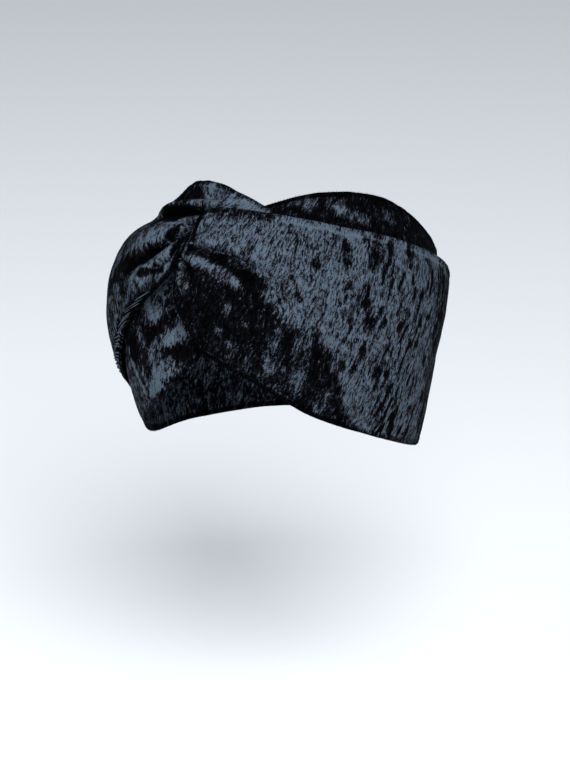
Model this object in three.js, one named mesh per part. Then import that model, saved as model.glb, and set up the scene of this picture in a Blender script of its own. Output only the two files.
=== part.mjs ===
// Twist headband of crushed velvet, in the form that it takes when it is worn.
// Two hemmed strips of cloth, one for each side, are hooked through each other at the front.
// Each strip runs forward from the seam at the nape as an outer layer, gathers at the twist, turns back
// through the other strip, and returns to the seam as an inner layer.
// Millimetres. +Z is up, the front faces -Y and +X is the wearer's left. The origin is the hollow's middle.
import * as THREE from "three";

// The hollow that the cloth is drawn round: ellipses on one axis that draw in towards the top and the bottom
const HOLLOW_HALF_WIDTH = 71;
const HOLLOW_HALF_LENGTH = 93;
const TOP = { reach: 95, roundness: 2.5 };
const BOTTOM = { reach: 85, roundness: 2.6 };

// The cloth, and how the band sits
const CLOTH_THICKNESS = 1.6;
const SEAM_GAP = 0.4;
const WORN_TILT = 20.6; // degrees by which the nape sits lower than the front
const NAPE = 180 - THREE.MathUtils.radToDeg(SEAM_GAP / 2 / HOLLOW_HALF_WIDTH); // turn of the cut ends
const CREASE_START = 8; // length from the twist in which the creases get their depth
const CREASE_FADE = 0.3; // share of a crease's reach from which on it gets shallower
const FULL_WIDTH = 55; // width of strip from which on the creases have their full depth

// How finely the cloth is faceted and measured
const STEPS_PER_SPAN = 3;
const STEPS_ACROSS = 22;
const LENGTH_STEPS = 1000;
const SLOPE_STEP = 0.05; // degrees and millimetres, for the hollow's slope
const SHARE_STEP = 1e-3; // share of a strip's length and half width, for the cloth's slope

const VELVET = { color: 0x23282f, roughness: 0.85, metalness: 0 };

// One section across a strip, from its low edge to its high edge. Turn is degrees round the hollow from the
// middle of the front towards the strip's own side, height is along the hollow's axis, lift is how far the
// cloth stands off the hollow, and belly is how much more it stands off midway between the edges.
function section(place, lowTurn, lowHeight, lowLift, highTurn, highHeight, highLift, belly) {
  const low = new THREE.Vector3(lowTurn, lowHeight, lowLift);
  const high = new THREE.Vector3(highTurn, highHeight, highLift);
  return { place, low, high, belly };
}

// A crease along a strip, from the twist to where it fades out. Near, half and far are its places across the
// strip at the twist, halfway and at its end, from -1 on the low edge to 1 on the high edge. Depth is how far
// the cloth dips, below and above are the widths of its sides, and reach is its length.
function crease(near, half, far, depth, below, above, reach) {
  return { near, half, far, depth, below, above, reach };
}

// The wearer's left strip, drawn together to a bundle that turns back behind the right strip.
// Sag is how much fuller a belly is below its middle than above it.
const LEFT_STRIP = {
  side: 1,
  twist: "bundle",
  sag: { outer: 0.45, inner: 0 },
  sections: [
    //      place            low turn, height, lift   high turn, height, lift   belly
    section("outer seam",    NAPE, -36, 4,            NAPE, 34, 4,              0),
    section("outer nape",    140, -42, 7,             138, 38.5, 7.5,           -3.5),
    section("outer ear",     112, -46, 9,             112, 46, 6,               -4.2),
    section("outer temple",  72, -44.2, 6,            72, 51.5, 5,              0.5),
    section("fan side",      48, -40, 4.2,            46, 51, 6,                5),
    section("fan middle",    31, -32, 4.4,            29, 50.4, 7.5,            9),
    section("fan front",     17, -25, 5.4,            16, 49.5, 9,              11),
    section("fan neck",      5, -19, 6.4,             6, 48, 11,                11),
    section("shoulder",      -2.5, -10, 7,            -1, 46, 13.5,             9),
    section("curl",          -7.6, -1.5, 8,           -2.6, 41.5, 17,           6),
    section("gather",        -9.4, 8, 9,              -2.4, 35.5, 18.4,         3),
    section("bundle",        -9.7, 14, 10,            -3, 28.5, 16,             0.6),
    section("turn back",     -10.2, 17, 7,            -6.2, 28, 10.5,           0.5),
    section("inner bundle",  -6.5, 22, 4.2,           -4, 33, 5,                0),
    section("inner neck",    3, 23, 1.7,              3, 45, 2,                 0),
    section("inner fan",     16, 12, 1,               17, 57.2, 1.1,            0),
    section("inner brow",    36, -13, 1,              38, 68, 1.1,              0),
    section("inner temple",  72, -27, 1,              72, 72.5, 1.1,            0),
    section("inner ear",     110, -33, 1,             106, 61, 1.1,             0),
    section("inner nape",    145, -35, 1,             140, 42, 1.1,             0),
    section("inner seam",    NAPE, -36, 1,            NAPE, 34, 1,              0),
  ],
  creases: [
    //     near,  half,  far,   depth, below, above, reach
    crease(0.46,  0.66,  0.9,   3.5,   0.12,  0.1,   26),
    crease(0.29,  0.36,  -0.2,  5.5,   0.13,  0.09,  92),
    crease(-0.48, -0.52, -0.6,  3,     0.14,  0.14,  55),
  ],
};

// The wearer's right strip, which crosses over the left bundle and folds back under the left fan
const RIGHT_STRIP = {
  side: -1,
  twist: "crossing",
  sag: { outer: -0.15, inner: -0.6 },
  sections: [
    //      place            low turn, height, lift   high turn, height, lift   belly
    section("outer seam",    NAPE, -36, 4,            NAPE, 34, 4,              0),
    section("outer nape",    140, -43, 6.5,           138, 38.5, 4.5,           0),
    section("outer ear",     112, -46.5, 9.5,         112, 45, 4.5,             1),
    section("outer temple",  70, -46, 6.5,            72, 48.5, 3.5,            4.5),
    section("fan side",      51, -34, 10,             50, 50, 2,                14.5),
    section("fan middle",    41, -18.5, 11,           36, 54.5, 3.5,            12.5),
    section("fan front",     23.5, -1, 12.5,          23, 60.2, 6.5,            9.5),
    section("fan neck",      10.2, 14, 15.8,          11, 61.6, 6.2,            5),
    section("pinch",         6.9, 22.5, 18.7,         3, 60.4, 5.8,             1.5),
    section("crossing",      6.2, 30, 18.2,           -2, 58.6, 5.8,            -0.4),
    section("under",         4, 35, 12.8,             -7, 57.2, 5.8,            -0.4),
    section("tuck",          -2, 36, 8.6,             -13, 55, 5.8,             0),
    section("turn back",     -13, 29, 6.2,            -19.5, 51.5, 5.2,         0.2),
    section("inner tuck",    -10, 12, 4.2,            -13, 45, 4,               0),
    section("inner crossing", -4, -18.5, 2,           -2, 15, 3,                0),
    section("inner neck",    5.5, -33, 1.9,           10.5, 25, 1,              0),
    section("inner fan",     19.7, -45.4, 1.5,        22, 36, 1.1,              2.5),
    section("inner brow",    42, -58, 3.5,            46, 35, 1,                7),
    section("inner temple",  74, -63, 6.5,            74, 37, 1,                -4),
    section("inner ear",     112, -54, 6,             112, 36, 1,               -2),
    section("inner nape",    145, -43.5, 3,           145, 34.5, 1,             -0.5),
    section("inner seam",    NAPE, -36, 1,            NAPE, 34, 1,              0),
  ],
  creases: [
    //     near,  half,  far,   depth, below, above, reach
    crease(0.7,   0.74,  0.78,  7,     0.16,  0.16,  120),
    crease(0.32,  0.48,  0.8,   9,     0.23,  0.1,   98),
    crease(-0.12, -0.32, -0.42, 7,     0.12,  0.1,   62),
    crease(-0.58, -0.66, -0.7,  3,     0.1,   0.1,   46),
  ],
};

// How much narrower the hollow is at a height than at its widest
function drawIn(height) {
  const { reach, roundness } = height > 0 ? TOP : BOTTOM;
  return (1 - (Math.abs(height) / reach) ** roundness) ** (1 / roundness);
}

// The hollow's surface at a turn and a height
function hollowPoint(turn, height) {
  const angle = THREE.MathUtils.degToRad(turn);
  const share = drawIn(height);
  const across = HOLLOW_HALF_WIDTH * share * Math.sin(angle);
  const along = -HOLLOW_HALF_LENGTH * share * Math.cos(angle);
  return new THREE.Vector3(across, along, height);
}

// A point that stands off the hollow by lift, square to its surface
function clothPoint(turn, height, lift) {
  const round = hollowPoint(turn + SLOPE_STEP, height).sub(hollowPoint(turn - SLOPE_STEP, height));
  const up = hollowPoint(turn, height + SLOPE_STEP).sub(hollowPoint(turn, height - SLOPE_STEP));
  return hollowPoint(turn, height).addScaledVector(round.cross(up).normalize(), lift);
}

// The middle surface of a strip: along goes from 0 to 1 down the strip, across from -1 to 1 over its width
function clothSurface({ side, twist, sag, sections, creases }) {
  const spans = sections.length - 1;
  const firstInner = sections.findIndex((row) => row.place.startsWith("inner")) / spans;
  const smooth = (rows) => new THREE.CatmullRomCurve3(rows, false, "centripetal");
  const low = smooth(sections.map((row) => row.low));
  const high = smooth(sections.map((row) => row.high));
  const belly = smooth(sections.map((row, index) => new THREE.Vector3(index, 0, row.belly)));
  const place = (along, across) => {
    const spot = low.getPoint(along).lerp(high.getPoint(along), (across + 1) / 2);
    const lean = along < firstInner ? sag.outer : sag.inner;
    spot.z += belly.getPoint(along).z * (1 - across ** 2) * (1 - lean * across);
    return spot;
  };
  const spread = (spot) => clothPoint(side * spot.x, spot.y, spot.z);

  const middle = smooth(sections.map((row, index) => spread(place(index / spans, 0))));
  const lengths = middle.getLengths(LENGTH_STEPS);
  const lengthTo = (along) => lengths[Math.round(along * LENGTH_STEPS)];
  const lengthToTwist = lengthTo(sections.findIndex((row) => row.place === twist) / spans);
  const dip = (along, across, width) => {
    const away = lengthToTwist - lengthTo(along);
    const shallow = Math.min(1, width / FULL_WIDTH);
    const opening = THREE.MathUtils.smoothstep(away, 0, CREASE_START);
    return creases.reduce((sum, { near, half, far, depth, below, above, reach }) => {
      const share = THREE.MathUtils.clamp(away / reach, 0, 1);
      const ends = near * (1 - share) * (1 - 2 * share) + far * share * (2 * share - 1);
      const off = across - ends - 4 * half * share * (1 - share);
      const fade = opening - THREE.MathUtils.smoothstep(away, CREASE_FADE * reach, reach);
      return sum + depth * shallow * fade * Math.exp(-((off / (off < 0 ? below : above)) ** 2));
    }, 0);
  };

  return (along, across) => {
    const spot = place(along, across);
    const width = spread(place(along, -1)).distanceTo(spread(place(along, 1)));
    spot.z -= dip(along, across, width);
    return spread(spot);
  };
}

// A closed wall of cloth round a strip's middle surface, with rounded hems and square cut ends
function clothGeometry(strip) {
  const surface = clothSurface(strip);
  const rows = (strip.sections.length - 1) * STEPS_PER_SPAN;
  const ring = 2 * (STEPS_ACROSS + 2);
  const half = CLOTH_THICKNESS / 2;
  const positions = [];
  const push = (point) => positions.push(point.x, point.y, point.z);

  for (let row = 0; row <= rows; row++) {
    const along = row / rows;
    const before = Math.max(0, along - SHARE_STEP);
    const after = Math.min(1, along + SHARE_STEP);
    const faces = [];
    for (let column = 0; column <= STEPS_ACROSS; column++) {
      const across = (2 * column) / STEPS_ACROSS - 1;
      const middle = surface(along, across);
      const down = surface(after, across).sub(surface(before, across));
      const below = Math.max(-1, across - SHARE_STEP);
      const above = Math.min(1, across + SHARE_STEP);
      const over = surface(along, above).sub(surface(along, below)).normalize();
      const out = over.clone().cross(down).normalize().multiplyScalar(half);
      faces.push({ front: middle.clone().add(out), back: middle.clone().sub(out), middle, over });
    }
    const first = faces[0];
    const last = faces[STEPS_ACROSS];
    faces.forEach(({ front }) => push(front));
    push(last.middle.clone().addScaledVector(last.over, half));
    faces.toReversed().forEach(({ back }) => push(back));
    push(first.middle.clone().addScaledVector(first.over, -half));
  }

  const index = [];
  const quad = (a, b, c, d) => index.push(a, b, c, a, c, d);
  for (let row = 0; row < rows; row++) {
    for (let step = 0; step < ring; step++) {
      const next = (step + 1) % ring;
      quad(row * ring + step, row * ring + next, (row + 1) * ring + next, (row + 1) * ring + step);
    }
  }
  for (const [row, turned] of [[0, true], [rows, false]]) {
    const cap = (...steps) => {
      const corners = steps.map((step) => row * ring + ((step + ring) % ring));
      return turned ? corners.reverse() : corners;
    };
    index.push(...cap(-1, 0, ring - 2));
    for (let step = 0; step < STEPS_ACROSS; step++) {
      quad(...cap(step, step + 1, ring - 3 - step, ring - 2 - step));
    }
    index.push(...cap(STEPS_ACROSS, STEPS_ACROSS + 1, STEPS_ACROSS + 2));
  }

  const geometry = new THREE.BufferGeometry();
  geometry.setAttribute("position", new THREE.Float32BufferAttribute(positions, 3));
  geometry.setIndex(index);
  geometry.computeVertexNormals();
  return geometry;
}

function bandMesh(name, strip) {
  const mesh = new THREE.Mesh(clothGeometry(strip), new THREE.MeshStandardMaterial(VELVET));
  mesh.name = name;
  return mesh;
}

const headband = new THREE.Group();
headband.add(bandMesh("left_band", LEFT_STRIP), bandMesh("right_band", RIGHT_STRIP));
headband.rotation.x = -THREE.MathUtils.degToRad(WORN_TILT);

export default headband;
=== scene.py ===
import math

import bpy
import numpy as np
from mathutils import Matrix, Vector


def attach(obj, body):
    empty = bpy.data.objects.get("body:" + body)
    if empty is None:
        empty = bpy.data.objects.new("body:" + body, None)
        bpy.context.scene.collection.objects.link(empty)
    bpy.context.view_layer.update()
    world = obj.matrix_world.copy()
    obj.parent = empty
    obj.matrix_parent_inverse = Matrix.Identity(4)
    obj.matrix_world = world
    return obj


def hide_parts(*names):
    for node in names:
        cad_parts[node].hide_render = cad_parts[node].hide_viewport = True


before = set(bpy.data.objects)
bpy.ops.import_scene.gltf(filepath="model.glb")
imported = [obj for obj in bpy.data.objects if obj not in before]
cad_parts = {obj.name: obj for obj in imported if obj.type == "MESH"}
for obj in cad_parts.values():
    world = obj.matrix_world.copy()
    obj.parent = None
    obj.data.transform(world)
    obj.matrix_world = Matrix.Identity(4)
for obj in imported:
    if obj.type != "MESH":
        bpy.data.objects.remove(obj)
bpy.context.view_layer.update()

# The left strip: a flat tube of crushed velvet, sewn and turned, with a rolled hem along both edges.
# It fans forward from the nape, is drawn together into a bundle at the twist, turns back behind the
# right strip and returns to the nape as an inner layer whose hem peeks out above the fan.

# The hollow that the strips are drawn round, in millimetres, and the tilt by which the nape sits low
MM = 0.001
HOLLOW_HALF_WIDTH = 71
HOLLOW_HALF_LENGTH = 93
TOP_REACH, TOP_ROUNDNESS = 95, 2.5
BOTTOM_REACH, BOTTOM_ROUNDNESS = 85, 2.6
WORN_TILT = math.radians(20.6)
NAPE = 180

# Turns are degrees from the middle of the front. Heights, lifts off the hollow and lengths are millimetres
LEFT_SECTIONS = [
    # place, low turn, height, lift, high turn, height, lift, belly
    ("outer seam", NAPE, -36, 4, NAPE, 34, 4, 0),
    ("outer nape", 140, -42, 7, 138, 38.5, 7.5, -3.5),
    ("outer ear", 112, -46, 9, 112, 46, 6, -4.2),
    ("outer temple", 72, -44.2, 6, 72, 51.5, 5, 0.5),
    ("fan side", 48, -40, 4.2, 46, 51, 6, 5),
    ("fan middle", 31, -32, 4.4, 29, 50.4, 7.5, 9),
    ("fan front", 17, -25, 5.4, 16, 49.5, 9, 11),
    ("fan neck", 5, -19, 6.4, 6, 48, 11, 11),
    ("shoulder", -2.5, -10, 7, -1, 46, 13.5, 9),
    ("curl", -7.6, -1.5, 8, -2.6, 41.5, 17, 6),
    ("gather", -9.4, 8, 9, -2.4, 35.5, 18.4, 3),
    ("bundle", -9.7, 14, 10, -3, 28.5, 16, 0.6),
    ("turn back", -10.2, 17, 7, -6.2, 28, 10.5, 0.5),
    ("inner bundle", -6.5, 22, 4.2, -4, 33, 5, 0),
    ("inner neck", 3, 23, 1.7, 3, 45, 2, 0),
    ("inner fan", 16, 12, 1, 17, 57.2, 1.1, 0),
    ("inner brow", 36, -13, 1, 38, 68, 1.1, 0),
    ("inner temple", 72, -27, 1, 72, 72.5, 1.1, 0),
    ("inner ear", 110, -33, 1, 106, 61, 1.1, 0),
    ("inner nape", 145, -35, 1, 140, 42, 1.1, 0),
    ("inner seam", NAPE, -36, 1, NAPE, 34, 1, 0),
]
LEFT_PLEATS = [
    # share across at the twist, halfway and at its end, depth, width below, width above, reach
    (0.46, 0.66, 0.90, 3.5, 0.12, 0.07, 26),
    (0.29, 0.36, -0.2, 5.5, 0.13, 0.035, 92),
    (0.12, 0.06, -0.05, 4, 0.07, 0.04, 26),
    (-0.10, -0.16, -0.3, 2.5, 0.09, 0.07, 34),
    (-0.48, -0.52, -0.6, 3, 0.14, 0.14, 55),
]
LEFT_SAG = {"outer": 0.45, "inner": 0}
LEFT_NAP = [
    # length from the twist, how much the pile leans towards the light
    (-300, 0.30),
    (-220, 0.50),
    (-2, 0.50),
    (8, -0.50),
    (190, -0.50),
    (250, 0.05),
]
LEFT_FLECKS = [
    # length from the twist, share of the full black of the flecks
    (-240, 0.6),
    (-200, 1.0),
    (-130, 0.9),
    (-90, 0.3),
    (0, 0.15),
]
LEFT_SHADE = [
    # length from the twist, share across below which the pile leans away and shade is painted
    (-140, -1.15),
    (-123, -0.92),
    (-111, -0.74),
    (-102, -0.38),
    (-89, -0.20),
    (-68, -0.16),
    (-54, 0.12),
    (-45, 0.28),
    (-4, 0.22),
]
LEFT_STROKES = [
    # from length, share across, to length, share across, half breadth, nap with painted shade and
    # highlights
    # a broad band of painted shade round the side, where the light falls off
    (-175, -0.7, -175, 0.9, 62, -0.17),
    # the bundle and its main pleat, with painted shade in the pleat's pocket and painted highlights on the
    # ridge below it and on the bundle's lower part
    (-5, 0.95, -3, 0.65, 3.0, -0.8),
    (-12, 0.70, -9, 0.42, 1.2, 0.2),
    (-9, 0.28, -30, 0.31, 2.6, -0.9),
    (-30, 0.31, -52, 0.15, 3.4, -0.6),
    (-15, 0.18, -40, 0.08, 3.2, 0.9),
    (-9, 0.02, -12, -0.30, 4.5, 0.75),
    (-9, 0.05, -17, -0.05, 0.9, -0.7),
    # light patches in the shaded half of the fan
    (-39, -0.27, -39, -0.23, 1.8, 0.9),
    (-35, -0.60, -36, -0.55, 2.2, 0.6),
    (-31, -0.76, -42, -0.70, 3.0, 0.4),
    (-45, -0.80, -78, -0.78, 7.0, 0.3),
    (-63, -0.34, -64, -0.72, 4.4, 0.55),
    (-79, -0.34, -81, -0.80, 4.8, 0.6),
    (-100, -0.74, -98, -0.90, 4.0, 0.8),
    (-100, -0.48, -97, -0.54, 3.0, 0.5),
    # dark streaks in the lit half of the fan
    (-122, 0.95, -118, 0.70, 4.2, -0.65),
    (-99, 0.88, -100, 0.62, 1.6, -0.55),
    (-92, 0.88, -92, 0.80, 2.2, -0.5),
    (-69, 0.80, -69, 0.66, 1.2, -0.45),
    (-82, 0.70, -81, 0.55, 1.6, -0.45),
    (-114, 0.42, -119, 0.05, 3.6, -0.5),
    (-69, 0.34, -75, 0.12, 1.4, -0.5),
    (-105, 0.46, -106, 0.00, 1.4, -0.4),
    (-150, 0.98, -151, 0.83, 3.0, -0.4),
    (-173, 0.92, -176, 0.66, 3.5, -0.35),
    (-134, -0.25, -139, -0.36, 2.4, -0.4),
    # the hems near the twist: painted shade along the high hem and a painted highlight along the low hem
    (-14, 0.92, -52, 0.95, 2.2, -0.5),
    (-38, -0.94, -5, -0.92, 0.5, 0.5),
    # dark patches towards the nape, and a painted highlight along the high hem
    (-208, -0.9, -194, 0.6, 13, -0.4),
    (-222, 0.95, -214, 0.4, 14, -0.45),
    (-200, 0.97, -60, 0.97, 2.0, 0.5),
    # light patches where the inner layer peeks out
    (60, 0.92, 66, 0.86, 4.0, 0.75),
    (78, 0.92, 84, 0.84, 4.0, 0.5),
    (84, 0.80, 106, 0.72, 3.0, 0.75),
    (122, 0.86, 128, 0.80, 3.0, 0.6),
]


def smooth_row(rows, along):
    """A smooth line through the rows of a table; along counts rows, from 0."""
    rows = np.asarray(rows, float)
    ended = np.vstack([2 * rows[0] - rows[1], rows, 2 * rows[-1] - rows[-2]])
    span = np.clip(np.floor(along).astype(int), 0, len(rows) - 2)
    a, b, c, d = (ended[span + step] for step in range(4))
    share = (along - span)[..., None]
    knot_1, knot_2, knot_3 = (
        np.sqrt(np.linalg.norm(end - start, axis=-1, keepdims=True))
        for start, end in ((a, b), (b, c), (c, d))
    )
    leave = knot_2 * ((b - a) / knot_1 - (c - a) / (knot_1 + knot_2) + (c - b) / knot_2)
    arrive = knot_2 * ((c - b) / knot_2 - (d - b) / (knot_2 + knot_3) + (d - c) / knot_3)
    bend = 3 * (c - b) - 2 * leave - arrive
    twist = 2 * (b - c) + leave + arrive
    return b + share * (leave + share * (bend + share * twist))


def hollow_point(turn, height):
    """The hollow's surface at a turn in radians and a height."""
    top = 1 - (np.clip(height, 0, None) / TOP_REACH) ** TOP_ROUNDNESS
    bottom = 1 - (np.clip(-height, 0, None) / BOTTOM_REACH) ** BOTTOM_ROUNDNESS
    share = top ** (1 / TOP_ROUNDNESS) * bottom ** (1 / BOTTOM_ROUNDNESS)
    across = HOLLOW_HALF_WIDTH * share * np.sin(turn)
    along = -HOLLOW_HALF_LENGTH * share * np.cos(turn)
    return np.stack([across, along, height], -1)


def unit(vectors):
    """The same ways, each one long."""
    return vectors / np.linalg.norm(vectors, axis=-1, keepdims=True)


def cloth_point(spot, side):
    """Where a spot of turn, height and lift is in space, in millimetres, on the upright hollow."""
    turn, height, lift = np.radians(side * spot[..., 0]), spot[..., 1], spot[..., 2]
    step = 1e-3
    round_it = hollow_point(turn + step, height) - hollow_point(turn - step, height)
    up_it = hollow_point(turn, height + step) - hollow_point(turn, height - step)
    return hollow_point(turn, height) + lift[..., None] * unit(np.cross(round_it, up_it))


def ease(value, start, end):
    """0 before start, 1 after end, and smooth between."""
    share = np.clip((value - start) / (end - start), 0, 1)
    return share * share * (3 - 2 * share)


HILL_GRID = 128


def hills(x, y, seed):
    """Soft random hills, about one to a unit of x and of y, from -1 to 1."""
    heights = np.random.default_rng(seed).uniform(-1, 1, (HILL_GRID, HILL_GRID))
    column, row = np.floor(x).astype(int), np.floor(y).astype(int)
    right_share, up_share = ease(x - column, 0, 1), ease(y - row, 0, 1)

    def level(up):
        first = heights[(row + up) % HILL_GRID, column % HILL_GRID]
        second = heights[(row + up) % HILL_GRID, (column + 1) % HILL_GRID]
        return first + right_share * (second - first)

    return level(0) + up_share * (level(1) - level(0))


# Where pleats start and fade along a strip, and the width from which on they have their full depth
PLEAT_START, PLEAT_FADE = 8, 0.3
FULL_WIDTH = 55
LENGTH_STEPS = 2001

# How the pile leans, as a nap that is plus where it shows lit and minus where it shows black, with painted
# shade below a shade line and in the pleats' creases
OUTER_END = (-2, 8)
SHADE_NAP, SHADE_SOFT = 1.0, (-0.16, 0.08)
STROKE_SOFT = (0.4, 1.5)
PLEAT_SHADE = 0.04
SWAY_LENGTH, SWAY_HEIGHT = 9, 14
FLECK_WIDTH, FLECK_HEIGHT, FLECK_SLANT = 1.8, 6.5, 0.3
FLECK_START, FLECK_FULL = 0.12, 0.55
FLECK_NAP, FLECK_LIFT, FLECK_SEED = 1.2, 0.18, 7


class Strip:
    """A strip's middle surface, worked out from its sections and pleats, and the lean of its pile with
    painted shade and highlights.

    Side is 1 for the left strip and -1 for the right one. Along counts the rows of sections, and across
    goes from -1 on the low hem to 1 on the high hem.
    """

    def __init__(self, side, sections, twist, sag, pleats, nap, flecks, shade, strokes):
        self.side, self.sag, self.pleats = side, sag, pleats
        self.nap, self.flecks = np.array(nap), np.array(flecks)
        self.shade, self.strokes = np.array(shade), strokes
        table = np.array([row[1:] for row in sections], float)
        self.low, self.high = table[:, 0:3], table[:, 3:6]
        counts = np.arange(len(table))
        self.belly = np.stack([counts, 0 * counts, table[:, 6]], -1)
        self.last = len(table) - 1
        self.first_inner = [row[0].startswith("inner") for row in sections].index(True)
        self.steps = np.linspace(0, self.last, LENGTH_STEPS)
        thread = self.flat_point(self.steps, 0 * self.steps)
        stretch = np.linalg.norm(np.diff(thread, axis=0), axis=-1)
        lengths = np.concatenate([[0], np.cumsum(stretch)])
        twist_row = [row[0] for row in sections].index(twist)
        self.lengths = lengths - np.interp(twist_row, self.steps, lengths)

    def spot(self, along, across):
        """Turn, height and lift of the cloth without its pleats."""
        low, high = smooth_row(self.low, along), smooth_row(self.high, along)
        spot = low + (high - low) * (across[..., None] + 1) / 2
        belly = smooth_row(self.belly, along)[..., 2]
        sag = np.where(along < self.first_inner, self.sag["outer"], self.sag["inner"])
        spot[..., 2] += belly * (1 - across**2) * (1 - sag * across)
        return spot

    def flat_point(self, along, across):
        """The middle surface's points without the pleats."""
        return cloth_point(self.spot(along, across), self.side)

    def length(self, along):
        """Millimetres past the twist along the middle thread: minus on the outer layer, plus inside."""
        return np.interp(along, self.steps, self.lengths)

    def width(self, along):
        """How wide the strip is from hem to hem."""
        edge = np.ones_like(along)
        return np.linalg.norm(self.flat_point(along, edge) - self.flat_point(along, -edge), axis=-1)

    def dip(self, along, across):
        """How far the pleats take the cloth in."""
        away = -self.length(along)
        room = np.minimum(1, self.width(along) / FULL_WIDTH)
        total = np.zeros_like(across)
        for near, half, far, depth, below, above, reach in self.pleats:
            share = np.clip(away / reach, 0, 1)
            middle = near * (1 - share) * (1 - 2 * share) + 4 * half * share * (1 - share)
            middle = middle + far * share * (2 * share - 1)
            deep = depth * room * (ease(away, 0, PLEAT_START) - ease(away, PLEAT_FADE * reach, reach))
            off = across - middle
            total += deep * np.exp(-((off / np.where(off < 0, below, above)) ** 2))
        return total

    def point(self, along, across):
        """The middle surface's points, pleats and all."""
        spot = self.spot(along, across)
        spot[..., 2] -= self.dip(along, across)
        return cloth_point(spot, self.side)

    def faces(self, along, across):
        """The middle surface's points, the ways across the strip and the ways out of its front."""
        nudge = 2e-3
        down = self.point(np.clip(along + nudge, 0, self.last), across)
        down = down - self.point(np.clip(along - nudge, 0, self.last), across)
        over = self.point(along, np.clip(across + nudge, -1, 1))
        over = unit(over - self.point(along, np.clip(across - nudge, -1, 1)))
        return self.point(along, across), over, unit(np.cross(over, down))

    def lean_and_shading(self, along, across):
        """How much the pile leans towards the light, with painted shade and highlights: plus shows lit,
        minus shows black.
        """
        length, half_width = self.length(along), self.width(along) / 2
        lean_and_shading = np.interp(length, *self.nap.T)
        # Painted shade over the lower half of the fan, which faces down away from the lamp, where the pile
        # also leans away
        if len(self.shade):
            outer = 1 - ease(length, *OUTER_END)
            top = np.interp(length, *self.shade.T)
            lean_and_shading = lean_and_shading - SHADE_NAP * outer * (1 - ease(across - top, *SHADE_SOFT))
        height = across * half_width
        sway = hills(length / SWAY_LENGTH, height / SWAY_HEIGHT, FLECK_SEED)
        place = (length + FLECK_SLANT * height) / FLECK_WIDTH + sway
        fleck = hills(place, height / FLECK_HEIGHT, FLECK_SEED + 1)
        fleck = ease(fleck, FLECK_START, FLECK_FULL)
        lean_and_shading = lean_and_shading + np.interp(length, *self.flecks.T) * (FLECK_LIFT - FLECK_NAP * fleck)
        for start, share, end, end_share, half_breadth, nap in self.strokes:
            on, up = length - start, (across - share) * half_width
            run, rise = end - start, (end_share - share) * half_width
            part = np.clip((on * run + up * rise) / (run**2 + rise**2), 0, 1)
            far = np.hypot(on - part * run, up - part * rise) / half_breadth
            lean_and_shading = lean_and_shading + nap * (1 - ease(far, *STROKE_SOFT))
        # Painted shade in the creases of the pleats
        return lean_and_shading - PLEAT_SHADE * self.dip(along, across)


def worn(points):
    """Millimetres on the upright hollow to metres as worn, with the nape lower than the front."""
    x, y, z = points[..., 0], points[..., 1], points[..., 2]
    cos, sin = math.cos(WORN_TILT), math.sin(WORN_TILT)
    return np.stack([x, cos * y + sin * z, cos * z - sin * y], -1) * MM


# The wall of cloth, its rolled hems with two lines of stitches, and its drawn-in ends at the seam
CLOTH_THICKNESS = 1.6
HEM_BULGE, HEM_BULGE_WIDTH = 0.2, 1.2
HEM_DITCHES, HEM_DITCH, HEM_DITCH_WIDTH = (1.7, 3.4), 0.25, 0.4
# Painted shade darkens the cloth along each hem, and a painted highlight runs along the roll between the
# stitch lines
HEM_SHADE, HEM_SHADE_WIDTH = 0.5, 2.0
HEM_LINE_HIGHLIGHT, HEM_LINE, HEM_LINE_WIDTH = 0.2, 2.5, 0.4
SEAM_DITCH, SEAM_DITCH_WIDTH = 0.45, 1.4

# The crumples, which are calm at the seam and where the twist draws the cloth tight
CRUMPLES = [
    # depth, length, height
    (0.3, 7, 11),
    (0.14, 2.4, 5),
]
SEAM_CALM = 6
TWIST_CALM, TWIST_START, TWIST_END = 0.8, (-14, -4), (30, 60)

# How finely the cloth is meshed
FINE_ROW, BACK_ROW, INNER_ROW = 0.85, 1.3, 2.4
FINE_START, FINE_END = (-215, -185), (20, 50)
HEM_COLUMNS = [0, 0.45, 0.9, 1.35, 1.8, 2.2, 2.6, 3.0, 3.5, 4.2, 5.2]
MIDDLE_COLUMNS = 72
HEM_STEPS = 5


def strip_rows(strip):
    """Rows along a strip, close together on the part of it that is looked at most."""
    front, inner = ease(strip.lengths, *FINE_START), ease(strip.lengths, *FINE_END)
    rows_per_mm = (1 - front) / BACK_ROW + (front - inner) / FINE_ROW + inner / INNER_ROW
    count = np.concatenate([[0], np.cumsum(np.diff(strip.lengths) * rows_per_mm[1:])])
    return np.interp(np.linspace(0, count[-1], int(count[-1])), count, strip.steps)


def strip_columns(width):
    """Columns across a row of a strip, close together at the hems."""
    hem = np.array(HEM_COLUMNS) * np.minimum(1, width / FULL_WIDTH)[:, None] * 2 / width[:, None]
    middle = np.linspace(0, 1, MIDDLE_COLUMNS + 2)[1:-1]
    inside = (1 - hem[:, -1:]) * (2 * middle - 1)
    return np.concatenate([hem - 1, inside, 1 - hem[:, ::-1]], axis=1)


def velvet_piece(name, points, faces, places, lean_and_shading):
    """A piece of velvet. Places are where its points were on the roll, and lean is how their pile leans,
    with painted shade and highlights added.
    """
    mesh = bpy.data.meshes.new(name)
    mesh.from_pydata(worn(points).tolist(), [], faces)
    corners = np.zeros(len(mesh.loops), np.int32)
    mesh.loops.foreach_get("vertex_index", corners)
    roll = mesh.uv_layers.new(name="roll")
    roll.data.foreach_set("uv", (places * MM)[corners].astype(np.float32).ravel())
    nap = mesh.attributes.new("nap", "FLOAT", "POINT")
    nap.data.foreach_set("value", lean_and_shading.astype(np.float32))
    mesh.polygons.foreach_set("use_smooth", np.ones(len(mesh.polygons), bool))
    mesh.update()
    piece = bpy.data.objects.new(name, mesh)
    bpy.context.scene.collection.objects.link(piece)
    return piece


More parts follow.
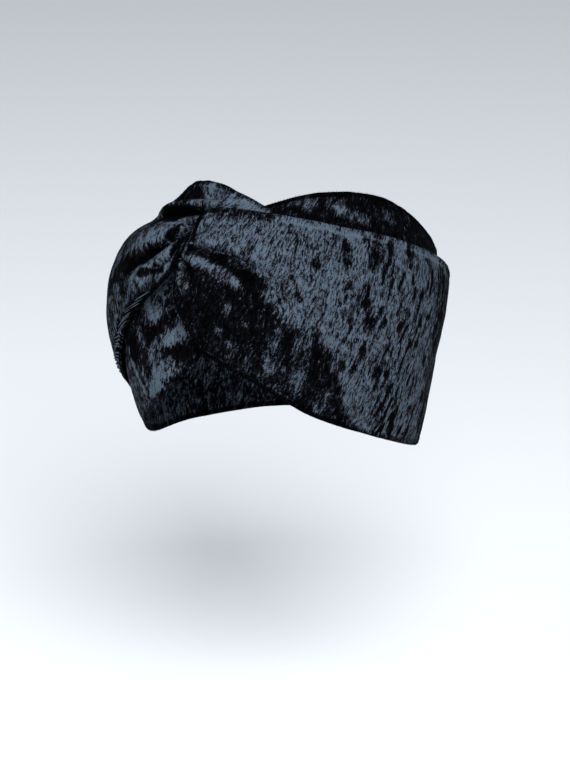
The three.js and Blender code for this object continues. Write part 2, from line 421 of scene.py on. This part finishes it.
def strip_mesh(name, strip, cut_at):
    """A closed wall of cloth with round hems. Cut_at is how far along the roll of velvet it was cut."""
    rows = strip_rows(strip)
    across = strip_columns(strip.width(rows))
    along = np.repeat(rows[:, None], across.shape[1], axis=1)
    middle, over, out = strip.faces(along, across)

    length = strip.length(along)
    height = across * strip.width(along) / 2
    from_edge = (1 - np.abs(across)) * strip.width(along) / 2
    half = CLOTH_THICKNESS / 2 + HEM_BULGE * np.exp(-((from_edge / HEM_BULGE_WIDTH) ** 2))
    for ditch in HEM_DITCHES:
        half -= HEM_DITCH * np.exp(-(((from_edge - ditch) / HEM_DITCH_WIDTH) ** 2))
    from_seam = np.minimum(length - strip.lengths[0], strip.lengths[-1] - length)
    half -= SEAM_DITCH * np.exp(-((from_seam / SEAM_DITCH_WIDTH) ** 2))
    calm = 1 - TWIST_CALM * ease(length, *TWIST_START) * (1 - ease(length, *TWIST_END))
    calm = calm * ease(from_seam, 0, SEAM_CALM)
    crumple = 0
    for number, (depth, long, high) in enumerate(CRUMPLES):
        crumple = crumple + depth * hills(length / long, height / high, cut_at + number)
    front = middle + (half + calm * crumple)[..., None] * out
    back = middle - (half - calm * crumple)[..., None] * out

    turns = (np.pi * np.arange(1, HEM_STEPS + 1) / (HEM_STEPS + 1))[None, :, None]

    def hem(column, way):
        heart = ((front + back) / 2)[:, column, None]
        side, face = over[:, column, None], out[:, column, None]
        return heart + half[:, column, None, None] * way * (side * np.sin(turns) + face * np.cos(turns))

    ring = np.concatenate([front, hem(-1, 1), back[:, ::-1], hem(0, -1)], axis=1)
    step = np.linalg.norm(np.diff(ring, axis=1, append=ring[:, :1]), axis=-1)
    breadth = np.cumsum(step, axis=1) - step
    breadth -= breadth[:, across.shape[1] // 2, None]
    count = ring.shape[1]
    index = np.arange(len(rows) * count).reshape(len(rows), count)
    here, there = index[:-1], index[1:]
    quads = np.stack([here, np.roll(here, -1, 1), np.roll(there, -1, 1), there], -1).reshape(-1, 4)
    faces = quads.tolist() + [index[0, ::-1].tolist(), index[-1].tolist()]

    places = np.stack([np.repeat(length[:, 0], count) + cut_at, breadth.ravel()], -1)
    # Painted shade along the hems and a painted highlight between their stitch lines
    lean_and_shading = strip.lean_and_shading(along, across) - HEM_SHADE * np.exp(-((from_edge / HEM_SHADE_WIDTH) ** 2))
    lean_and_shading = lean_and_shading + HEM_LINE_HIGHLIGHT * np.exp(-(((from_edge - HEM_LINE) / HEM_LINE_WIDTH) ** 2))
    edges = [np.repeat(lean_and_shading[:, column, None], HEM_STEPS, axis=1) for column in (-1, 0)]
    lean_and_shading = np.concatenate([lean_and_shading, edges[0], lean_and_shading[:, ::-1], edges[1]], axis=1)
    return velvet_piece(name, ring.reshape(-1, 3), faces, places, lean_and_shading.ravel())


# The tufts and ribs of pile at the hems, and how much one differs from the next
SPIKE_RINGS, SPIKE_SUNK = 4, 0.3
PITCH_DRAW, ROOT_DRAW, REACH_DRAW = (-0.2, 0.2), (0.7, 1.1), (0.5, 1.2)
SLANT_DRAW, NAP_DRAW = (-0.3, 0.3), (-0.2, 0.2)


def spike_faces():
    """The faces of one spike, which has a heel, rings of three points and a tip."""
    tip = 3 * SPIKE_RINGS + 1
    faces = [(0, 2, 1), (0, 3, 2), (0, 1, 3)]
    faces += [(tip, tip - 3, tip - 2), (tip, tip - 2, tip - 1), (tip, tip - 1, tip - 3)]
    for ring in range(1, tip - 3, 3):
        for here, there in ((0, 1), (1, 2), (2, 0)):
            low, high = (ring + here, ring + there), (ring + 3 + here, ring + 3 + there)
            faces += [(low[0], low[1], high[1]), (low[0], high[1], high[0])]
    return np.array(faces)


def hem_pile(name, strip, cut_at, stretches):
    """Tufts and ribs of pile: thin closed spikes, each from a heel on the face to a tip past the hem."""
    draw = np.random.default_rng(cut_at)
    shares = np.linspace(0, 1, SPIKE_RINGS + 2)[:, None]
    plump = np.sin(np.pi * shares)[..., None]
    points, places, lean_and_shading = [], [], []
    for edge, start, end, pitch, root, slant, reach, half_breadth, stand, nap in stretches:
        length = np.arange(start, end, pitch)
        length = length + draw.uniform(*PITCH_DRAW, len(length)) * pitch
        inside = root * draw.uniform(*ROOT_DRAW, len(length)) * (1 - shares)
        past = CLOTH_THICKNESS / 2 + reach * draw.uniform(*REACH_DRAW, len(length))
        lag = slant + draw.uniform(*SLANT_DRAW, len(length))
        length = length - lag * inside
        along = np.interp(length, strip.lengths, strip.steps)
        half_width = strip.width(along) / 2
        sole, over, out = strip.faces(along, edge * (1 - inside / half_width))
        out = out * (strip.side if start < 0 else -strip.side)
        sole = sole + (CLOTH_THICKNESS / 2 - SPIKE_SUNK) * out
        sole[-1] += edge * over[-1] * past[:, None]
        side = plump * half_breadth * unit(np.cross(np.gradient(sole, axis=0), out))
        back = sole + plump * (stand + SPIKE_SUNK) * out
        rings = np.stack([sole + side, sole - side, back], 1)[1:-1].reshape(-1, *sole.shape[1:])
        points.append(np.concatenate([sole[:1], rings, sole[-1:]]).swapaxes(0, 1))
        place = np.stack([length + cut_at, edge * (half_width - inside)], -1)
        place = np.concatenate([place[:1], np.repeat(place[1:-1], 3, axis=0), place[-1:]])
        places.append(place.swapaxes(0, 1))
        tint = nap + draw.uniform(*NAP_DRAW, length.shape[1])
        lean_and_shading.append(np.repeat(tint, 3 * SPIKE_RINGS + 2))
    points, places = np.concatenate(points), np.concatenate(places)
    first_points = points.shape[1] * np.arange(len(points))[:, None, None]
    faces = (first_points + spike_faces()).reshape(-1, 3).tolist()
    return velvet_piece(name, points.reshape(-1, 3), faces, places.reshape(-1, 2), np.concatenate(lean_and_shading))


# The pile of the velvet: how crushing pushes it about, and the colour that it shows at each lean
PILE_SLANT = math.radians(12)
PILE_SIZES = {
    # kind: width, length, detail, roughness
    "sway": (9, 12, 2, 0.5),
    "blotch": (5, 8, 3, 0.6),
    "dash": (1.1, 3.4, 2, 0.6),
    "grain": (0.5, 1.1, 1, 0.5),
}
PILE_SWAY, NOISE_MEAN = 4, 0.5
BLOTCH_NAP, DASH_NAP, GRAIN_NAP = 1.5, 2.8, 1.4
LEAN_AWAY, LEAN_UP = -1.0, 1.1
VELVET_TONES = [
    # lean of the pile, colour
    (-1.0, (0.0003, 0.0003, 0.0004)),
    (-0.1, (0.0020, 0.0020, 0.0027)),
    (0.14, (0.0070, 0.0078, 0.0105)),
    (0.36, (0.0240, 0.0280, 0.0370)),
    (0.62, (0.0430, 0.0550, 0.0715)),
    (0.86, (0.0580, 0.0770, 0.0990)),
    (1.1, (0.0640, 0.0860, 0.1100)),
]
AWAY_ROUGHNESS, UP_ROUGHNESS = 0.95, 0.65
VELVET_SPECULAR = 0.008
PRESS_STRENGTH, PRESS_DEPTH = 0.6, 0.6
TUFT_STRENGTH, TUFT_DEPTH = 0.5, 0.2


def velvet_finish(name):
    """Crushed velvet: near black where the pile leans away or shade is painted, slate grey where it catches
    the light or a highlight is painted.
    """
    finish = bpy.data.materials.new(name)
    finish.use_nodes = True
    nodes, links = finish.node_tree.nodes, finish.node_tree.links
    shader = nodes["Principled BSDF"]

    def add(kind, **settings):
        node = nodes.new(kind)
        for setting, value in settings.items():
            setattr(node, setting, value)
        return node

    def sums(operation, first, second):
        node = add("ShaderNodeMath", operation=operation)
        for socket, value in zip(node.inputs, (first, second)):
            if isinstance(value, (int, float)):
                socket.default_value = value
            else:
                links.new(value, socket)
        return node.outputs[0]

    def pile(place, wide, long, detail, roughness):
        stretched = add("ShaderNodeMapping", vector_type="TEXTURE")
        stretched.inputs["Rotation"].default_value = (0, 0, PILE_SLANT)
        stretched.inputs["Scale"].default_value = (wide * MM, long * MM, 1)
        links.new(place, stretched.inputs["Vector"])
        cloud = add("ShaderNodeTexNoise", noise_dimensions="2D")
        cloud.inputs["Scale"].default_value = 1
        cloud.inputs["Detail"].default_value = detail
        cloud.inputs["Roughness"].default_value = roughness
        links.new(stretched.outputs[0], cloud.inputs["Vector"])
        return cloud

    def spread(value, low, high, to_low, to_high):
        node = add("ShaderNodeMapRange")
        for socket, number in zip(list(node.inputs)[1:5], (low, high, to_low, to_high)):
            socket.default_value = number
        links.new(value, node.inputs[0])
        return node.outputs[0]

    roll = add("ShaderNodeUVMap", uv_map="roll").outputs[0]
    sway = pile(roll, *PILE_SIZES["sway"]).outputs["Color"]
    pushed = add("ShaderNodeVectorMath", operation="MULTIPLY_ADD")
    pushed.inputs[1].default_value = (PILE_SWAY * MM, PILE_SWAY * MM, 0)
    links.new(sway, pushed.inputs[0])
    links.new(roll, pushed.inputs[2])
    swayed = pushed.outputs[0]

    def about(cloud, strength):
        return sums("MULTIPLY", sums("SUBTRACT", cloud.outputs["Fac"], NOISE_MEAN), strength)

    # The lean of the pile at each point, which carries painted shade and painted highlights
    nap = add("ShaderNodeAttribute", attribute_name="nap").outputs["Fac"]
    grain = pile(roll, *PILE_SIZES["grain"])
    dashes = about(pile(swayed, *PILE_SIZES["dash"]), DASH_NAP)
    dashes = sums("ADD", dashes, about(grain, GRAIN_NAP))
    crush = sums("ADD", about(pile(swayed, *PILE_SIZES["blotch"]), BLOTCH_NAP), dashes)
    shine = spread(sums("ADD", crush, nap), LEAN_AWAY, LEAN_UP, 0, 1)

    tone = add("ShaderNodeValToRGB")
    stops = tone.color_ramp.elements
    while len(stops) < len(VELVET_TONES):
        stops.new(0.5)
    for stop, (lean_there, colour) in zip(stops, VELVET_TONES):
        stop.position = (lean_there - LEAN_AWAY) / (LEAN_UP - LEAN_AWAY)
        stop.color = (*colour, 1)
    links.new(shine, tone.inputs[0])
    links.new(tone.outputs["Color"], shader.inputs["Base Color"])
    links.new(spread(shine, 0, 1, AWAY_ROUGHNESS, UP_ROUGHNESS), shader.inputs["Roughness"])
    shader.inputs["Specular IOR Level"].default_value = VELVET_SPECULAR

    pressed = add("ShaderNodeBump")
    pressed.inputs["Strength"].default_value = PRESS_STRENGTH
    pressed.inputs["Distance"].default_value = PRESS_DEPTH * MM
    links.new(crush, pressed.inputs["Height"])
    tufted = add("ShaderNodeBump")
    tufted.inputs["Strength"].default_value = TUFT_STRENGTH
    tufted.inputs["Distance"].default_value = TUFT_DEPTH * MM
    links.new(grain.outputs["Fac"], tufted.inputs["Height"])
    links.new(pressed.outputs[0], tufted.inputs["Normal"])
    links.new(tufted.outputs[0], shader.inputs["Normal"])
    return finish


LEFT_CUT_AT = 1000
LEFT_PILE = [
    # edge, from length, to length, pitch, root, slant, reach, half breadth, stand, nap
    (-1, -18, -2, 1.2, 3.4, 0, 0.5, 0.36, 0.4, 0.6),
    (-1, -290, -18, 1.3, 0.8, 0, 0.8, 0.32, 0.1, -0.2),
    (1, -290, -6, 1.3, 0.8, 0, 0.7, 0.32, 0.1, -0.1),
    (1, 40, 290, 1.5, 0.8, 0, 1.3, 0.36, 0.1, -0.3),
]
left_looks = LEFT_NAP, LEFT_FLECKS, LEFT_SHADE, LEFT_STROKES
left = Strip(1, LEFT_SECTIONS, "bundle", LEFT_SAG, LEFT_PLEATS, *left_looks)
left_band = strip_mesh("left_band_velvet", left, LEFT_CUT_AT)
left_pile = hem_pile("left_band_pile", left, LEFT_CUT_AT, LEFT_PILE)
velvet = velvet_finish("crushed_velvet")
for piece in (left_band, left_pile):
    piece.data.materials.append(velvet)
    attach(piece, "root")
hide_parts("left_band")

# The right strip: the same velvet tube as the left one, hooked round the left bundle.
# Its fan is pleated into the crossing, folds over at the top, dives under the left fan and returns to
# the nape as an inner layer whose hem shows below the fan.
RIGHT_SECTIONS = [
    # place, low turn, height, lift, high turn, height, lift, belly
    ("outer seam", NAPE, -36, 4, NAPE, 34, 4, 0),
    ("outer nape", 140, -43, 6.5, 138, 38.5, 4.5, 0),
    ("outer ear", 112, -46.5, 9.5, 112, 45, 4.5, 1),
    ("outer temple", 70, -46, 6.5, 72, 48.5, 3.5, 4.5),
    ("fan side", 51, -34, 10, 50, 50, 2, 14.5),
    ("fan middle", 41, -18.5, 11, 36, 54.5, 3.5, 12.5),
    ("fan front", 23.5, -1, 12.5, 23, 60.2, 6.5, 9.5),
    ("fan neck", 10.2, 14, 15.8, 11, 61.6, 6.2, 5),
    ("pinch", 6.9, 22.5, 18.7, 3, 60.4, 5.8, 1.5),
    ("crossing", 6.2, 30, 18.2, -2, 58.6, 5.8, -0.4),
    ("under", 4, 35, 12.8, -7, 57.2, 5.8, -0.4),
    ("tuck", -2, 36, 8.6, -13, 55, 5.8, 0),
    ("turn back", -13, 29, 6.2, -19.5, 51.5, 5.2, 0.2),
    ("inner tuck", -10, 12, 4.2, -13, 45, 4, 0),
    ("inner crossing", -4, -18.5, 2, -2, 15, 3, 0),
    ("inner neck", 5.5, -33, 1.9, 10.5, 25, 1, 0),
    ("inner fan", 19.7, -45.4, 1.5, 22, 36, 1.1, 2.5),
    ("inner brow", 42, -58, 3.5, 46, 35, 1, 7),
    ("inner temple", 74, -63, 6.5, 74, 37, 1, -4),
    ("inner ear", 112, -54, 6, 112, 36, 1, -2),
    ("inner nape", 145, -43.5, 3, 145, 34.5, 1, -0.5),
    ("inner seam", NAPE, -36, 1, NAPE, 34, 1, 0),
]
RIGHT_PLEATS = [
    # share across at the twist, halfway and at its end, depth, width below, width above, reach
    (0.32, 0.48, 0.80, 9, 0.23, 0.06, 98),
    (0.02, 0.12, 0.22, 2, 0.05, 0.04, 40),
    (-0.12, -0.32, -0.42, 7, 0.12, 0.07, 62),
    (-0.58, -0.66, -0.70, 3, 0.08, 0.06, 46),
    (0.70, 0.74, 0.78, 7, 0.16, 0.16, 120),
]
RIGHT_SAG = {"outer": -0.15, "inner": -0.6}
RIGHT_NAP = [
    # length from the twist, how much the pile leans towards the light
    (-300, 0.30),
    (-180, 0.16),
    (-2, 0.16),
    (8, 0.25),
    (190, 0.25),
    (250, 0.05),
]
RIGHT_FLECKS = [
    # length from the twist, share of the full black of the flecks
    (-150, 0.5),
    (-95, 0.7),
    (-60, 0.3),
    (30, 0.25),
    (80, 0.7),
    (150, 0.4),
]
RIGHT_STROKES = [
    # from length, share across, to length, share across, half breadth, nap with painted shade and
    # highlights
    # light ridges and dark pleats of the fan: painted highlights on the ridges and painted shade in the
    # pleats
    (-37, 0.52, -12, 0.41, 0.9, 0.6),
    (-48, 0.41, -26, 0.33, 4.6, -0.9),
    (-26, 0.38, -12, 0.39, 2.0, -0.9),
    (-38, 0.22, -20, 0.03, 0.8, 0.5),
    (-44, -0.05, -19, -0.01, 3.4, 0.5),
    (-21, -0.15, -17, -0.09, 1.8, -0.9),
    (-34, -0.17, -24, -0.16, 2.0, 0.15),
    (-64, -0.22, -48, -0.31, 5.0, -0.8),
    (-48, -0.31, -26, -0.30, 2.2, -0.9),
    (-34, -0.45, -18, -0.53, 2.6, 0.55),
    (-18, -0.52, -14, -0.30, 1.6, 0.45),
    (-14, -0.60, -8, -0.52, 2.8, -1.0),
    (-4, -0.62, -1, -0.80, 2.0, -0.8),
    (-40, -0.42, -30, -0.57, 0.7, 0.7),
    (-30, -0.57, -13, -0.86, 0.7, 0.7),
    (-39, -0.52, -20, -0.78, 2.0, -1.0),
    (-44, -0.52, -28, -0.82, 5.0, 0.45),
    (-74, -0.28, -72, -0.26, 4.0, -0.6),
    (-61, -0.41, -59, -0.38, 3.5, 0.4),
    (-57, -0.60, -55, -0.60, 5.0, -0.4),
    (-69, -0.55, -52, -0.78, 3.5, 0.2),
    (-13, 0.02, -13, -0.18, 2.0, 0.45),
    (-8, -0.35, -4, -0.80, 2.0, 0.4),
    (-20, 0.20, -8, 0.15, 3.0, 0.35),
    (-40, 0.48, -20, 0.42, 3.2, -0.9),
    (-62, 0.62, -48, 0.56, 2.6, 0.4),
    (-36, 0.52, -12, 0.44, 0.8, 0.7),
    (-50, 0.80, -28, 0.76, 6.0, -0.5),
    (-52, 0.84, -40, 0.70, 4.0, -0.25),
    # the fold over the twist, lit by a painted highlight
    (-17, 0.88, -10, 0.60, 6.0, 0.6),
    (-2, 0.60, 20, 0.70, 6.0, 0.5),
    # patches and streaks of the inner layer below the fan
    (118, 0.18, 107, -0.06, 3.0, 0.5),
    (116, 0.26, 99, 0.32, 3.5, 0.3),
    (109, -0.24, 91, 0.10, 3.4, -0.9),
    (124, 0.02, 113, -0.30, 4.0, -0.5),
    (97, -0.36, 87, -0.14, 4.0, 0.7),
    (92, -0.58, 75, -0.75, 5.0, -0.9),
    (112, -0.85, 94, -0.68, 4.0, 0.45),
    (145, -0.30, 130, -0.30, 6.0, -0.4),
    (135, -0.10, 118, -0.60, 7.0, -0.6),
    (136, -0.30, 122, -0.85, 1.0, 1.0),
    (112, -0.42, 105, -0.95, 1.0, 0.7),
    (124, -0.16, 115, -0.42, 0.8, 0.5),
    (122, -0.55, 116, -0.90, 0.9, 0.8),
    # painted shade on the ground under the ribs of the low hem
    (-112, -0.93, -66, -0.93, 3.6, -0.6),
    (-66, -0.93, -26, -0.93, 3.6, -0.6),
]
RIGHT_PILE = [
    # edge, from length, to length, pitch, root, slant, reach, half breadth, stand, nap
    # The first two rows are the ribs of the low hem, lightened by a painted highlight
    (-1, -116, -62, 2.7, 8.0, 1.6, 1.8, 0.42, 1.2, 1.2),
    (-1, -62, -22, 5.0, 6.5, 4.5, 0.3, 0.40, 0.6, 1.1),
    (-1, -62, -6, 1.3, 0.8, 0, 0.6, 0.32, 0.1, -0.1),
    (1, -290, 25, 1.3, 0.8, 0, 0.7, 0.32, 0.1, -0.1),
    (-1, 60, 290, 1.3, 0.8, 0, 0.8, 0.32, 0.1, -0.1),
]
RIGHT_CUT_AT = 3000
right_looks = RIGHT_NAP, RIGHT_FLECKS, [], RIGHT_STROKES
right = Strip(-1, RIGHT_SECTIONS, "crossing", RIGHT_SAG, RIGHT_PLEATS, *right_looks)
right_band = strip_mesh("right_band_velvet", right, RIGHT_CUT_AT)
right_pile = hem_pile("right_band_pile", right, RIGHT_CUT_AT, RIGHT_PILE)
for piece in (right_band, right_pile):
    piece.data.materials.append(velvet)
    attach(piece, "root")
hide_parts("right_band")

# The studio: a broad sheet of pale paper lies well below the band, which is shown in its worn form.
# A large soft lamp stands in front, high up on the wearer's left, and a weaker one on the right lights
# up its shade. The air all round is pale and a little blue.
FLOOR_HEIGHT = -0.24
FLOOR_HALF = 9
PAPER_COLOUR, PAPER_ROUGHNESS = (0.72, 0.72, 0.72, 1), 0.9
AIR_COLOUR, AIR_STRENGTH = (0.85, 0.92, 1.0, 1), 0.55
floor_mesh = bpy.data.meshes.new("floor")
floor_mesh.from_pydata(
    [(x * FLOOR_HALF, y * FLOOR_HALF, FLOOR_HEIGHT) for x, y in ((-1, -1), (1, -1), (1, 1), (-1, 1))],
    [],
    [(0, 1, 2, 3)],
)
floor = bpy.data.objects.new("floor", floor_mesh)
bpy.context.scene.collection.objects.link(floor)
paper = bpy.data.materials.new("pale_paper")
paper.use_nodes = True
paper_shader = paper.node_tree.nodes["Principled BSDF"]
paper_shader.inputs["Base Color"].default_value = PAPER_COLOUR
paper_shader.inputs["Roughness"].default_value = PAPER_ROUGHNESS
floor_mesh.materials.append(paper)

LIGHTS = [
    # name, place, width, height, watts, colour
    ("key", (1.3, -1.5, 1.7), 1.4, 1.4, 115, (0.93, 0.97, 1.0)),
    ("fill", (-1.6, -1.4, 0.9), 1.6, 1.6, 22, (0.95, 0.98, 1.0)),
]
for light_name, place, width, height, watts, colour in LIGHTS:
    lamp = bpy.data.lights.new(light_name, "AREA")
    lamp.shape = "RECTANGLE"
    lamp.size, lamp.size_y = width, height
    lamp.energy = watts
    lamp.color = colour
    light = bpy.data.objects.new(light_name, lamp)
    light.location = place
    light.rotation_euler = (-Vector(place)).to_track_quat("-Z", "Y").to_euler()
    bpy.context.scene.collection.objects.link(light)
world = bpy.data.worlds.new("studio")
world.use_nodes = True
air = world.node_tree.nodes["Background"]
air.inputs["Color"].default_value = AIR_COLOUR
air.inputs["Strength"].default_value = AIR_STRENGTH
bpy.context.scene.world = world
bpy.context.scene.view_settings.view_transform = "Standard"

# The camera: thirty degrees round to the wearer's left and eighteen degrees up, about 1.3 m away.
# It is turned a little so that the band's middle falls on its own place in the picture.
VIEW_TURN, VIEW_RISE = math.radians(30), math.radians(18)
VIEW_DISTANCE = 1.3
PICTURE_WIDTH, PICTURE_HEIGHT = 570, 757
FOCAL_PIXELS = 2431
SENSOR_HEIGHT = 36
MIDDLE_PIXEL = (290, 327)
back = Vector((
    math.sin(VIEW_TURN) * math.cos(VIEW_RISE),
    -math.cos(VIEW_TURN) * math.cos(VIEW_RISE),
    math.sin(VIEW_RISE),
))
aside = Vector((math.cos(VIEW_TURN), math.sin(VIEW_TURN), 0))
upward = back.cross(aside)
off_x = (MIDDLE_PIXEL[0] - PICTURE_WIDTH / 2) / FOCAL_PIXELS
off_y = (PICTURE_HEIGHT / 2 - MIDDLE_PIXEL[1]) / FOCAL_PIXELS
aim = -back - off_x * aside - off_y * upward
lens = bpy.data.cameras.new("camera")
lens.sensor_fit = "VERTICAL"
lens.sensor_height = SENSOR_HEIGHT
lens.lens = FOCAL_PIXELS / PICTURE_HEIGHT * SENSOR_HEIGHT
camera = bpy.data.objects.new("camera", lens)
camera.location = back * VIEW_DISTANCE
camera.rotation_euler = aim.to_track_quat("-Z", "Y").to_euler()
bpy.context.scene.collection.objects.link(camera)
bpy.context.scene.camera = camera
